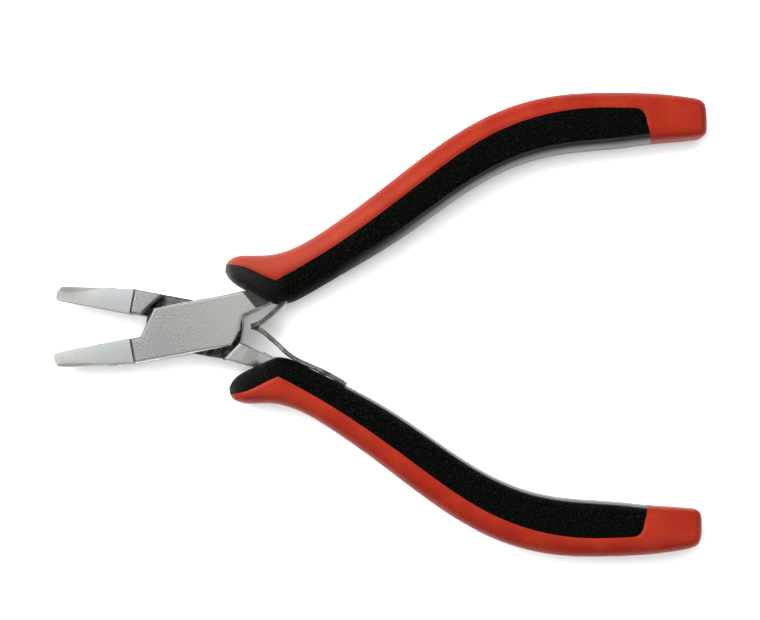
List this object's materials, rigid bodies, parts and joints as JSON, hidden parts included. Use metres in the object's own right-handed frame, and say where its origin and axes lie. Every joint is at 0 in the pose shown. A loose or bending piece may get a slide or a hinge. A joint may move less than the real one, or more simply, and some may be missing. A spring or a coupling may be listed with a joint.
{
  "type": "nylon jaw flat nose pliers",
  "caption": "Flat nose jewellery pliers with nylon jaw covers, a box joint, hooked double leaf springs and two-colour moulded grips.",
  "frame": {"origin": "where the joint's pivot axis meets the ground back face of the box joint", "axes": "+X from the jaws towards the handles along the line that halves the opening, +Y towards the outer half's handle, +Z along the pivot axis towards the front cheek"},
  "size_m": [0.1323, 0.0945, 0.0116],
  "materials": {
    "ground_steel": "satin ground faces with dark as-forged recesses",
    "rivet_steel": "ground flush with the joint",
    "fastener_steel": "bright turned",
    "spring_steel": "dark tempered spring steel",
    "nylon": "translucent off-white nylon, satin",
    "red_grip": "smooth satin red elastomer",
    "black_grip": "stippled black elastomer with a smooth glossy edge"
  },
  "bodies": {
    "outer_arm": {"outer_half": "ground_steel", "joint_rivet": "rivet_steel", "lower_nylon_jaw": "nylon", "lower_jaw_screw": "fastener_steel", "upper_spring_rivet": "fastener_steel", "upper_grip_shell": "red_grip", "upper_grip_inlay": "black_grip"},
    "inner_arm": {"inner_half": "ground_steel", "upper_nylon_jaw": "nylon", "upper_jaw_screw": "fastener_steel", "lower_spring_rivet": "fastener_steel", "lower_grip_shell": "red_grip", "lower_grip_inlay": "black_grip"},
    "upper_leaf": {"upper_leaf_spring": "spring_steel"},
    "lower_leaf": {"lower_leaf_spring": "spring_steel"}
  },
  "joints": [
    {"name": "jaw_pivot", "type": "hinge", "parent": "outer_arm", "child": "inner_arm", "pos_m": [0, 0, 0.0043], "axis": [0, 0, 1], "range_deg": [-4, 20.9], "stiffness_Nm_per_rad": 0.8},
    {"name": "upper_leaf_flex", "type": "hinge", "parent": "outer_arm", "child": "upper_leaf", "pos_m": [0.01909, 0.00567, 0.0043], "axis": [0, 0, 1], "range_deg": [-14, 3], "deforming": ["upper_leaf_spring"]},
    {"name": "lower_leaf_flex", "type": "hinge", "parent": "inner_arm", "child": "lower_leaf", "pos_m": [0.01909, -0.00567, 0.0043], "axis": [0, 0, 1], "range_deg": [-3, 14], "deforming": ["lower_leaf_spring"]}
  ],
  "couplings": [
    {"joint": "upper_leaf_flex", "follows": "jaw_pivot", "ratio": -0.655},
    {"joint": "lower_leaf_flex", "follows": "jaw_pivot", "ratio": 0.655}
  ]
}
